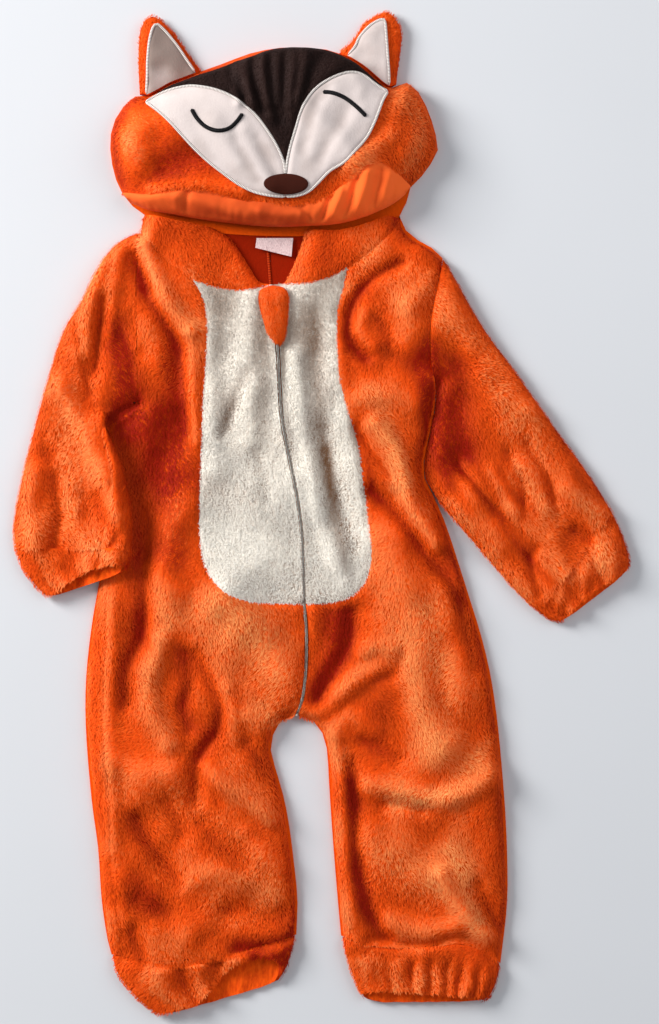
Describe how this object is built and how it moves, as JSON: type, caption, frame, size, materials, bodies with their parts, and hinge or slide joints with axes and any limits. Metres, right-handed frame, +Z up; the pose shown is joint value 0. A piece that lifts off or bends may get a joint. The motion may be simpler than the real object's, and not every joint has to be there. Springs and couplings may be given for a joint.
{
  "type": "fox onesie",
  "caption": "Toddler's hooded plush fox suit laid flat face up: fox face and ears on the hood, cream belly, centre zip, gathered cuffs.",
  "frame": {"origin": "centre of the underside of the whole box, on the surface that the garment lies on", "axes": "+Y towards the hood, +X to the right as looked down on, +Z up out of the garment's front"},
  "size_m": [0.5554, 0.904, 0.0476],
  "materials": {
    "orange_plush": "long orange plush pile with a soft sheen and a brushed nap",
    "cream_plush": "long cream plush pile",
    "brown_plush": "dark brown short plush",
    "white_velour": "pinkish white velour with satin-stitched edges",
    "orange_jersey": "smooth orange jersey lining, gathered on elastic",
    "brown_thread": "brown embroidery thread in satin stitch",
    "black_thread": "black embroidery thread in satin stitch",
    "zip_tape": "grey coil zip on woven tape",
    "label_satin": "woven satin ribbon, bare"
  },
  "bodies": {
    "root": {"back_left": "orange_plush", "back_right": "orange_plush", "front_left": "orange_plush", "front_right": "orange_plush", "belly_left": "cream_plush", "belly_right": "cream_plush", "zip": "zip_tape", "zip_tab": "orange_plush", "sleeve_left": "orange_plush", "sleeve_right": "orange_plush", "sleeve_cuff_left": "orange_plush", "sleeve_cuff_right": "orange_plush", "leg_cuff_left": "orange_plush", "leg_cuff_right": "orange_plush", "hood_neck_left": "orange_plush", "hood_neck_right": "orange_plush", "hood_back": "orange_plush", "hood_top": "orange_plush", "hood_lining": "orange_jersey", "hood_crown": "brown_plush", "cheek_left": "white_velour", "cheek_right": "white_velour", "eye_left": "black_thread", "eye_right": "black_thread", "nose": "brown_thread", "ear_left": "orange_plush", "ear_right": "orange_plush", "ear_left_inner": "white_velour", "ear_right_inner": "white_velour", "label": "label_satin"}
  },
  "joints": []
}
